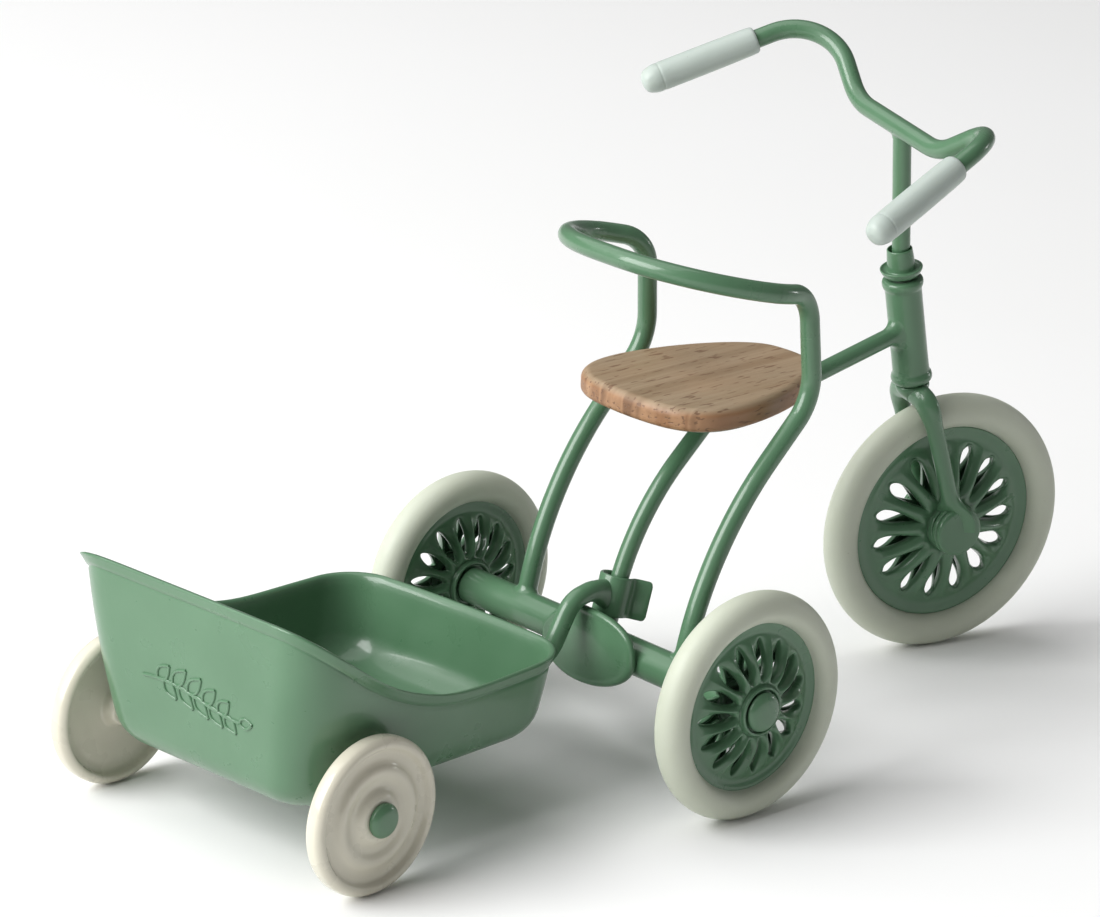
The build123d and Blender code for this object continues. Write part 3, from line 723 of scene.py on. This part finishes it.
def tub_loop(z, inset=0.0):
    """Points round the tub at one height: front, left side, rear, right side, with corners."""
    rear, front, rear_half, mid_half, front_half, corner = level_at(z)
    middle = (rear + front) / 2
    fl, fr = Vector((front, front_half)), Vector((front, -front_half))
    rl, rr = Vector((rear, rear_half)), Vector((rear, -rear_half))
    arcs = [circle_through(fr, Vector((front + 1.2, 0)), fl),
            circle_through(fl, Vector((middle, mid_half)), rl),
            circle_through(rl, Vector((rear - 0.02, 0)), rr),
            circle_through(rr, Vector((middle, -mid_half)), fr)]
    arcs = [(centre, radius - inset) for centre, radius in arcs]
    corner -= inset
    centres = [corner_centre(arcs[i - 1], arcs[i], corner, near)
               for i, near in enumerate((fr, fl, rl, rr))]
    loop = []
    for i, (centre, radius) in enumerate(arcs):
        start_corner, end_corner = centres[i], centres[(i + 1) % 4]
        start = start_corner - centre
        end = end_corner - centre
        a0, a1 = math.atan2(start.y, start.x), math.atan2(end.y, end.x)
        while a1 < a0:
            a1 += 2 * math.pi
        steps = END_STEPS if i % 2 == 0 else SIDE_PARTS
        for k in range(steps):
            a = a0 + (a1 - a0) * k / steps
            loop.append(centre + Vector((math.cos(a), math.sin(a))) * radius)
        next_centre = arcs[(i + 1) % 4][0]
        turn_end = end_corner - next_centre
        b0, b1 = a1, math.atan2(turn_end.y, turn_end.x)
        while b1 < b0:
            b1 += 2 * math.pi
        for k in range(CORNER_STEPS):
            a = b0 + (b1 - b0) * k / CORNER_STEPS
            loop.append(end_corner + Vector((math.cos(a), math.sin(a))) * corner)
    return loop


LOOP_COUNT = 2 * (END_STEPS + SIDE_PARTS) + 4 * CORNER_STEPS
LOOP_CACHE = {}


def tub_point(i, z, inset):
    key = (round(z, 2), round(inset, 3))
    if key not in LOOP_CACHE:
        LOOP_CACHE[key] = tub_loop(key[0], key[1])
    at = LOOP_CACHE[key][i % LOOP_COUNT]
    return Vector((at.x, at.y, z))


def tub_top(i):
    z = 35.0
    for _ in range(12):
        z = rim_height(tub_point(i, z, 0).x)
    return z


TUB_TOP = [tub_top(i) for i in range(LOOP_COUNT)]
REAR_CORNERS = [END_STEPS + CORNER_STEPS + SIDE_PARTS + CORNER_STEPS / 2,
                2 * END_STEPS + 2 * CORNER_STEPS + SIDE_PARTS + CORNER_STEPS * 1.5]


def flare(i):
    """The hem is drawn out to a lip at the rear corners."""
    return max(math.exp(-((i - c) / 5.0) ** 2) for c in REAR_CORNERS)


def wall_row(drop_or_share, inset, from_top):
    """One row of the wall, by its distance under the rim or its share of the wall's height."""
    row = []
    for i in range(LOOP_COUNT):
        top = TUB_TOP[i]
        if from_top:
            z = top - drop_or_share
        else:
            low, high = TUB_FLOOR + TUB_FOOT_R, top - HEM - 0.5
            z = low + (high - low) * drop_or_share
        out = inset
        if from_top and inset < TUB_SHEET:
            share = 1 - min(max(drop_or_share / HEM, 0), 1)
            out -= 0.75 * flare(i) * share ** 1.5
        row.append(tub_point(i, z, out))
    return row


def foot_row(angle, inset):
    """One row of the rounded foot between the floor and the wall."""
    radius = TUB_FOOT_R - inset
    z = TUB_FLOOR + inset + radius * (1 - math.cos(angle))
    return [tub_point(i, z, inset + radius * (1 - math.sin(angle))) for i in range(LOOP_COUNT)]


def floor_patch(loop, lift):
    """Fills the floor inside a loop and raises a channel over the axle."""
    half_corner = CORNER_STEPS // 2
    ends, sides = END_STEPS + CORNER_STEPS, SIDE_PARTS + CORNER_STEPS
    start = -half_corner
    front = [loop[(start + k) % LOOP_COUNT] for k in range(ends + 1)]
    left = [loop[(start + ends + k) % LOOP_COUNT] for k in range(sides + 1)]
    rear = [loop[(start + ends + sides + ends - k) % LOOP_COUNT] for k in range(ends + 1)]
    right = [loop[(start - k) % LOOP_COUNT] for k in range(sides + 1)]
    grid = []
    for a in range(sides + 1):
        u = a / sides
        row = []
        for b in range(ends + 1):
            v = b / ends
            p = (front[b] * (1 - u) + rear[b] * u + right[a] * (1 - v) + left[a] * v
                 - front[0] * (1 - u) * (1 - v) - front[-1] * (1 - u) * v
                 - rear[0] * u * (1 - v) - rear[-1] * u * v)
            edge = min(u, 1 - u, v, 1 - v)
            hump = 1 - smooth_step((abs(p.x) - 1.5) / 1.7)
            p = Vector((p.x, p.y, p.z + lift * hump * smooth_step(edge * 22)))
            row.append(p)
        grid.append(row)
    shape = Shape()
    shape.rings(grid, close=False)
    return shape


def tub_shape():
    quarter = [math.pi / 2 * k / 7 for k in range(8)]
    shares = [k / 14 for k in range(1, 15)]
    hem_out = [(HEM + 0.22, 0.06), (HEM + 0.05, 0.14), (HEM - 0.12, 0.02), (HEM - 0.4, -0.22),
               (HEM - 0.9, -0.36), (HEM - 1.5, -0.42), (0.55, -0.5), (0.25, -0.56), (0.05, -0.45),
               (0.0, -0.25), (0.02, 0.05), (0.15, 0.32), (0.45, 0.55), (1.0, 0.72),
               (2.0, TUB_SHEET)]
    rows = [foot_row(angle, 0) for angle in quarter]
    rows += [wall_row(share, 0, False) for share in shares]
    rows += [wall_row(drop, inset, True) for drop, inset in hem_out]
    rows += [wall_row(share, TUB_SHEET, False) for share in reversed(shares)]
    rows += [foot_row(angle, TUB_SHEET) for angle in reversed(quarter)]
    shape = Shape()
    shape.rings(rows)
    shape.join(floor_patch(rows[0], AXLE_RIDGE))
    shape.join(floor_patch(rows[-1], AXLE_RIDGE))
    return shape


def raised_line(points, radius=0.32):
    """A rounded ridge on the rear wall through points given as (across, height)."""
    line = [Vector((level_at(z)[0] - 0.02, y, z)) for y, z in points]
    sizes = [(radius, radius) for _ in line]
    return sweep(line, sizes, 10, flat=Vector((1, 0, 0)))


def leaf_outline(y, z, angle, length, width):
    """A pointed leaf that grows from (y, z)."""
    c, s = math.cos(math.radians(angle)), math.sin(math.radians(angle))
    outline = []
    for side in (1, -1):
        for k in range(9):
            t = k / 8 if side == 1 else 1 - k / 8
            u, v = length * t, side * width * math.sin(math.pi * t ** 0.8)
            outline.append((y - u * c + v * s, z + u * s + v * c))
    return outline


def sprig():
    """A plain leafy sprig pressed outwards in the rear wall."""
    stem = [(11.5 - 23 * k / 32, 27.6 + 1.1 * math.sin(4.2 * k / 32 + 0.6)) for k in range(33)]
    shape = raised_line(stem)
    for k, length in ((5, 4.2), (10, 4.8), (15, 4.8), (20, 4.4), (25, 3.8)):
        y, z = stem[k]
        shape.join(raised_line(leaf_outline(y, z, 44, length, 1.15), 0.28))
        y, z = stem[k + 2]
        shape.join(raised_line(leaf_outline(y, z, -44, 0.92 * length, 1.15), 0.28))
    return shape.join(raised_line(leaf_outline(*stem[-1], 10, 3.0, 0.9), 0.28))


piece("pressed_tub", tub_shape().join(sprig()), TRAILER_AT, "trailer", "green_enamel",
      ["trailer_tub"], sharp=70)

# ---- head tube and headset collar ------------------------------------------
HEAD_LENGTH = 20.545
head_profile = rounded([
    (1.95, 0.5), (1.95, 0.05, 0.2), (3.0, 0.0, 0.3), (3.62, 0.25, 0.4), (3.78, 0.95, 0.5),
    (3.6, 1.65, 0.4), (3.34, 2.1, 0.4), (3.3, 4.0, 1.0), (3.3, 16.6, 1.0),
    (3.34, HEAD_LENGTH - 2.1, 0.4), (3.62, HEAD_LENGTH - 1.65, 0.4),
    (3.78, HEAD_LENGTH - 0.95, 0.5), (3.62, HEAD_LENGTH - 0.25, 0.4), (3.0, HEAD_LENGTH, 0.3),
    (1.95, HEAD_LENGTH - 0.05, 0.2), (1.95, HEAD_LENGTH - 0.5),
])
piece("beaded_head_tube", lathe(head_profile + head_profile[:1], 80, "z"), HEAD_AT, "frame",
      "green_enamel", ["head_tube"])
COLLAR_Z = HEAD_LENGTH + 0.4
collar_profile = rounded([
    (1.86, COLLAR_Z + 0.4), (1.86, COLLAR_Z, 0.1), (2.9, COLLAR_Z, 0.25),
    (3.3, COLLAR_Z + 0.3, 0.3), (3.8, COLLAR_Z + 1.15, 0.3), (3.86, COLLAR_Z + 1.55, 0.15),
    (3.62, COLLAR_Z + 1.62, 0.12), (3.3, COLLAR_Z + 1.3, 0.3), (2.62, COLLAR_Z + 1.22, 0.2),
    (2.52, COLLAR_Z + 1.6, 0.3), (2.45, COLLAR_Z + 3.4, 0.5), (2.3, COLLAR_Z + 5.15, 0.15),
    (2.14, COLLAR_Z + 5.3, 0.1), (2.0, COLLAR_Z + 5.15, 0.1), (1.95, COLLAR_Z + 3.2),
    (1.86, COLLAR_Z + 3.0),
])
piece("flanged_collar", lathe(collar_profile + collar_profile[:1], 80, "z"), HEAD_AT, "fork",
      "green_enamel", ["headset_collar"])

# ---- fork, crown and grips -------------------------------------------------
def turned_about(axis, at, angle):
    return Matrix.Translation(at) @ Matrix.Rotation(angle, 4, axis) @ Matrix.Translation(-at)


def in_steps(table, value):
    """Straight-line interpolation in a short table of (value, result) rows."""
    for (v0, r0), (v1, r1) in zip(table, table[1:]):
        if value <= v1 or v1 == table[-1][0]:
            t = min(max((value - v0) / (v1 - v0), 0), 1)
            return [a + (b - a) * t for a, b in zip(r0, r1)]


def across_steering(v):
    """The part of a direction that is square to the steering axis."""
    return v - steer_axis * v.dot(steer_axis)


# The fork is drawn pointing straight ahead and stands turned to one side.
straight = across_steering(Vector((0, 1, 0)))
aside = across_steering(joint_axis("front_wheel_spin"))
STEER_ANGLE = math.atan2(steer_axis.dot(straight.cross(aside)), straight.dot(aside))
FORK_AT = turned_about(steer_axis, steer_at, STEER_ANGLE) @ FRAME_AT
HEAD_FOOT = FRAME_AT.inverted() @ steer_at
FRONT_AXLE = FORK_AT.inverted() @ joint_at("front_wheel_spin")
STEM_TOP = Vector((67.4, 0, 101.0))
BAR_TURN, BAR_TILT = math.radians(1.85), math.radians(3.9)
HANDLE_AT = (FORK_AT @ turned_about(steer_axis, HEAD_FOOT, BAR_TURN)
             @ turned_about(Vector((1, 0, 0)), STEM_TOP, BAR_TILT))

BLADE_LINE = [(74.4, -1.5, 50.9), (74.6, 3.3, 50.9), (75.3, 5.2, 48.7), (76.9, 5.5, 44.2),
              (81.6, 5.5, 30.0), (82.9, 5.1, 27.0), (83.4, 5.0, 24.4)]
# Half sizes of a blade, fore and aft and sideways, by distance from the axle.
BLADE_SIZES = [(0.0, (4.2, 0.62)), (2.2, (4.3, 0.65)), (3.6, (3.9, 0.8)), (4.8, (3.0, 1.1)),
               (6.0, (2.2, 1.38)), (7.5, (1.65, 1.5)), (9.5, (1.55, 1.55)), (22.0, (1.6, 1.6)),
               (26.0, (2.2, 1.9))]


def fork_blade(side):
    line = [Vector((p.x, p.y * side, p.z)) for p in curve_points(BLADE_LINE, 14)]
    sizes = [in_steps(BLADE_SIZES, math.hypot(p.x - FRONT_AXLE.x, p.z - FRONT_AXLE.z))
             for p in line]
    blade = sweep(line, sizes, 32)
    eye = lathe(rounded([(0, 4.35), (4.4, 4.35), (4.7, 4.6, 0.2), (4.7, 5.3, 0.3), (4.4, 5.6, 0.2),
                         (0, 5.6)]), 64)
    return blade.join(eye.moved(Matrix.Translation(FRONT_AXLE) @ Matrix.Diagonal((1, side, 1, 1))))


piece("fork_arch_left", fork_blade(1), FORK_AT, "fork", "green_enamel", ["fork_blade_left"])
piece("fork_arch_right", fork_blade(-1), FORK_AT, "fork", "green_enamel", ["fork_blade_right"])
crown_profile = rounded([(1.86, -2.8), (1.86, -0.3), (2.85, -0.3, 0.2), (3.15, -0.8, 0.4),
                         (2.9, -1.8, 0.6), (2.1, -2.9, 0.6), (0, -3.0), (0, -2.8)])
piece("domed_crown", lathe(crown_profile + crown_profile[:1], 64, "z"), HEAD_AT, "fork",
      "green_enamel", ["fork_crown"])

GRIP_LENGTH = 20.6
BAR_END, BAR_BEND = (37.9, 37.15, 99.2), (69.1, 28.6, 112.5)
grip_profile = rounded([
    (1.72, 0.3), (1.74, 0, 0.1), (2.22, 0, 0.15), (2.44, 0.35, 0.3), (2.52, 1.5, 0.6),
    (2.58, 5.0, 1.0), (2.62, 10.0, 2.0), (2.62, 18.1, 0.5), (2.55, 18.3, 0.1), (2.55, 18.5, 0.1),
    (2.6, 18.7, 0.2), (2.58, 19.6, 0.8), (2.1, 21.2, 0.9), (1.15, 21.85, 0.8), (0, 21.95),
])
for side, name in ((1, "left"), (-1, "right")):
    tip, bend = (Vector((x, y * side, z)) for x, y, z in (BAR_END, BAR_BEND))
    back = (tip - bend).normalized()
    grip = lathe(grip_profile, 72, "z").moved(towards(back, tip - back * GRIP_LENGTH, 1))
    piece("sleeve_grip_" + name, grip, HANDLE_AT, "fork", "grip_rubber", ["grip_" + name],
          sharp=40)

# ---- welds -----------------------------------------------------------------
AXLE_AT, ACROSS = (0, 0, REAR_R / MM), (0, 1, 0)
AXLE_TUBE_R, HEAD_TUBE_R = 3.2, 3.3
HOOP_R, SPINE_R, STEM_R, HANDLEBAR_R = 1.72, 1.6, 1.65, 1.7
leg_welds = Shape()
for side in (1, -1):
    leg_welds.join(fillet_ring((1.22, 20.06 * side, 23.2), (0.21, 0.016 * side, 0.978), HOOP_R,
                               AXLE_AT, ACROSS, AXLE_TUBE_R, 1.2))
foot_weld = fillet_ring((2.2, 0, 23.2), (0.2647, 0, 0.9643), SPINE_R,
                        AXLE_AT, ACROSS, AXLE_TUBE_R, 1.3)
head_weld = fillet_ring((72.6, 0, 63.0), (-0.9824, 0, -0.1866), SPINE_R,
                        HEAD_FOOT, steer_axis, HEAD_TUBE_R, 2.4)
stem_down = (HEAD_FOOT + steer_axis * 23.0 - STEM_TOP).normalized()
stem_weld = fillet_ring(STEM_TOP, stem_down, STEM_R,
                        (66.6, 0, 101.25), ACROSS, HANDLEBAR_R, 0.8)
for name, weld, place, body in (("leg_welds", leg_welds, FRAME_AT, "frame"),
                                ("spine_foot_weld", foot_weld, FRAME_AT, "frame"),
                                ("spine_head_weld", head_weld, FRAME_AT, "frame"),
                                ("stem_weld", stem_weld, HANDLE_AT, "fork")):
    piece(name, weld, place, body, "green_enamel", sharp=80)

# ---- hitch -----------------------------------------------------------------
# The clip hangs loosely on the straight foot of the spine bar, given as (forward, up).
FOOT_X, FOOT_Z = 0.5, 17.0
KNEE_X, KNEE_Z = 6.95, 40.5
SPINE_LEAN = math.atan2(KNEE_X - FOOT_X, KNEE_Z - FOOT_Z)
CLIP_Z = 27.75
CLIP_BACK, CLIP_LEFT = 0.26, 0.23
CLIP_CENTRE = Vector((FOOT_X + (CLIP_Z - FOOT_Z) * math.tan(SPINE_LEAN) - CLIP_BACK, CLIP_LEFT,
                      CLIP_Z))
CLIP_AT = FRAME_AT @ towards((math.sin(SPINE_LEAN), 0, math.cos(SPINE_LEAN)), CLIP_CENTRE, 1)
CLIP_MID_R, CLIP_HALF_SHEET, CLIP_HALF_HEIGHT = 2.78, 0.29, 3.55
TAB_CORNER_R = 0.8
SLEEVE_STEPS = 64


def strip(line, half_heights, half_sheet):
    """A flat strip on edge along a line in the XY plane, with rounded edges."""
    rings = []
    for i, p in enumerate(line):
        before, after = line[max(i - 1, 0)], line[min(i + 1, len(line) - 1)]
        ahead = (after - before).normalized()
        side = Vector((-ahead.y, ahead.x, 0))
        ring = []
        for edge in (1, -1):
            for k in range(8):
                a = math.pi * k / 7
                ring.append(p + side * half_sheet * math.cos(a) * edge
                            + UP * edge * (half_heights[i] - half_sheet + half_sheet * math.sin(a)))
        rings.append(ring)
    shape = Shape()
    shape.rings(rings, cap_start=True, cap_end=True)
    return shape


def clip_line():
    """The middle of the strip: round the bar, then out to a tab at the front right."""
    line = []
    for k in range(SLEEVE_STEPS + 1):
        a = math.radians(25 + 260 * k / SLEEVE_STEPS)
        line.append(Vector((math.cos(a), math.sin(a), 0)) * CLIP_MID_R)
    heading = math.radians(15)
    for turn, length, steps in ((0, 0.9, 2), (-57, 1.2, 8), (0, 2.5, 14)):
        for _ in range(steps):
            heading += math.radians(turn) / steps
            ahead = Vector((math.cos(heading), math.sin(heading), 0))
            line.append(line[-1] + ahead * length / steps)
    return line


def clip_shape():
    line = clip_line()
    heights = [CLIP_HALF_HEIGHT] * len(line)
    for i in range(SLEEVE_STEPS + 3, len(line)):
        into_corner = max(0, 1 - (line[-1] - line[i]).length / TAB_CORNER_R)
        heights[i] -= TAB_CORNER_R * (1 - math.sqrt(1 - into_corner ** 2))
    return strip(line, heights, CLIP_HALF_SHEET)


piece("wrapped_clip", clip_shape(), CLIP_AT, "trailer", "green_enamel", ["hitch_clip"], sharp=60)


def eased_path(corners, eases, steps=10):
    """Straight runs in space with an eased bend at each inner corner."""
    corners = [Vector(c) for c in corners]
    path = [corners[0]]
    for before, at, after, ease in zip(corners, corners[1:], corners[2:], eases):
        start, end = at + (before - at).normalized() * ease, at + (after - at).normalized() * ease
        for k in range(steps + 1):
            t = k / steps
            path.append(start * (1 - t) ** 2 + at * 2 * t * (1 - t) + end * t ** 2)
    return path + [corners[-1]]


DRAWBAR_LINE = [(14, -1, 9.9), (49, -9.8, 9.9), (60.7, -12.4, 21.3), (64.5, -13.1, 29.0),
                (69.6, -13.2, 29.8), (73.5, -14.1, 28.1)]
DRAWBAR_EASES = (2.8, 1.4, 2.6, 1.8)
# Half sizes of the bar, upright and sideways, by distance forward of the trailer's axle.
DRAWBAR_SIZES = [(0.0, (1.7, 1.7)), (68.0, (1.7, 1.7)), (70.0, (1.9, 1.6)), (72.0, (2.5, 1.3)),
                 (73.5, (3.2, 1.0))]
FLATTENED_STEPS = 16


def drawbar_shape():
    run = eased_path(DRAWBAR_LINE, DRAWBAR_EASES)
    start, end = run[-2], run[-1]
    run = run[:-1] + [start.lerp(end, k / FLATTENED_STEPS) for k in range(1, FLATTENED_STEPS + 1)]
    return sweep(run, [in_steps(DRAWBAR_SIZES, p.x) for p in run], 32)


piece("flattened_drawbar", drawbar_shape(), TRAILER_AT, "trailer", "green_enamel", ["drawbar"])

# ---- plate behind the axle -------------------------------------------------
PLATE_HALF_HEIGHT, PLATE_Z, PLATE_BACK_X = 7.0, 20.4, -3.3
# The plate's half width to its right and left, and how square it is above and below the middle.
PLATE_RIGHT, PLATE_LEFT = (13.2, 0.71, 1.05), (10.0, 1.35, 0.9)
# Rings from the tube outwards and over the edge: share of the outline, height of the sheet.
PLATE_RINGS = [(0.45, -1.5), (0.5, 0.0), (0.9, 0), (0.985, 0.05), (1, 0.35), (1, 0.85),
               (0.975, 1.2), (0.93, 1.32), (0.88, 1.25), (0.8, 1.3), (0.6, 1.46), (0.3, 1.57),
               (0.02, 1.6)]


def plate_outline(scale, height, count=96):
    ring = []
    for k in range(count):
        a = 2 * math.pi * k / count
        across, up = math.cos(a), math.sin(a)
        half_width, above, below = PLATE_RIGHT if across > 0 else PLATE_LEFT
        power = above if up > 0 else below
        y = -half_width * math.copysign(abs(across) ** power, across)
        z = PLATE_HALF_HEIGHT * math.copysign(abs(up) ** power, up)
        ring.append((PLATE_BACK_X - height, scale * y, PLATE_Z + scale * z))
    return ring


shield = Shape()
shield.rings([plate_outline(*ring) for ring in PLATE_RINGS], cap_start=True, cap_end=True)
piece("crowned_plate", shield, FRAME_AT, "frame", "green_enamel", ["axle_saddle_plate"])

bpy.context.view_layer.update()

# ---- light and floor -------------------------------------------------------
LIGHTS = [
    # name, direction from the object, distance, size, energy
    ("key", (-1.0, 0.30, 0.62), 1.5, 1.1, 31.0),
    ("top", (-0.2, 0.5, 1.0), 1.5, 1.8, 14.0),
    ("window", (0.94, -0.33, 0.13), 1.8, 0.22, 1.6),
]
WORLD_STRENGTH = 0.16
FLOOR_HALF = 4              # metres


def studio():
    world = bpy.data.worlds.new("studio")
    bpy.context.scene.world = world
    world.use_nodes = True
    background = world.node_tree.nodes["Background"]
    background.inputs["Color"].default_value = (1, 1, 1, 1)
    background.inputs["Strength"].default_value = WORLD_STRENGTH
    target = REAR_GROUND + Vector((0.01, 0, 0.05))
    for name, towards_light, distance, size, energy in LIGHTS:
        data = bpy.data.lights.new(name, "AREA")
        data.energy, data.size = energy, size
        lamp = bpy.data.objects.new(name, data)
        bpy.context.scene.collection.objects.link(lamp)
        lamp.location = target + Vector(towards_light).normalized() * distance
        lamp.rotation_mode = "QUATERNION"
        lamp.rotation_quaternion = (target - lamp.location).to_track_quat("-Z", "Y")
    mesh = bpy.data.meshes.new("floor")
    corners = [(x * FLOOR_HALF, y * FLOOR_HALF, 0)
               for x, y in ((-1, -1), (1, -1), (1, 1), (-1, 1))]
    mesh.from_pydata(corners, [], [(0, 1, 2, 3)])
    floor = bpy.data.objects.new("floor", mesh)
    bpy.context.scene.collection.objects.link(floor)
    paper = Nodes("floor_paper")
    tone = paper.mix(paper.noise(6, detail=2), srgb(247, 247, 246), srgb(250, 250, 250))
    mesh.materials.append(paper.finish(Base_Color=tone, Roughness=0.9))


studio()
bpy.context.scene.view_settings.view_transform = "Standard"
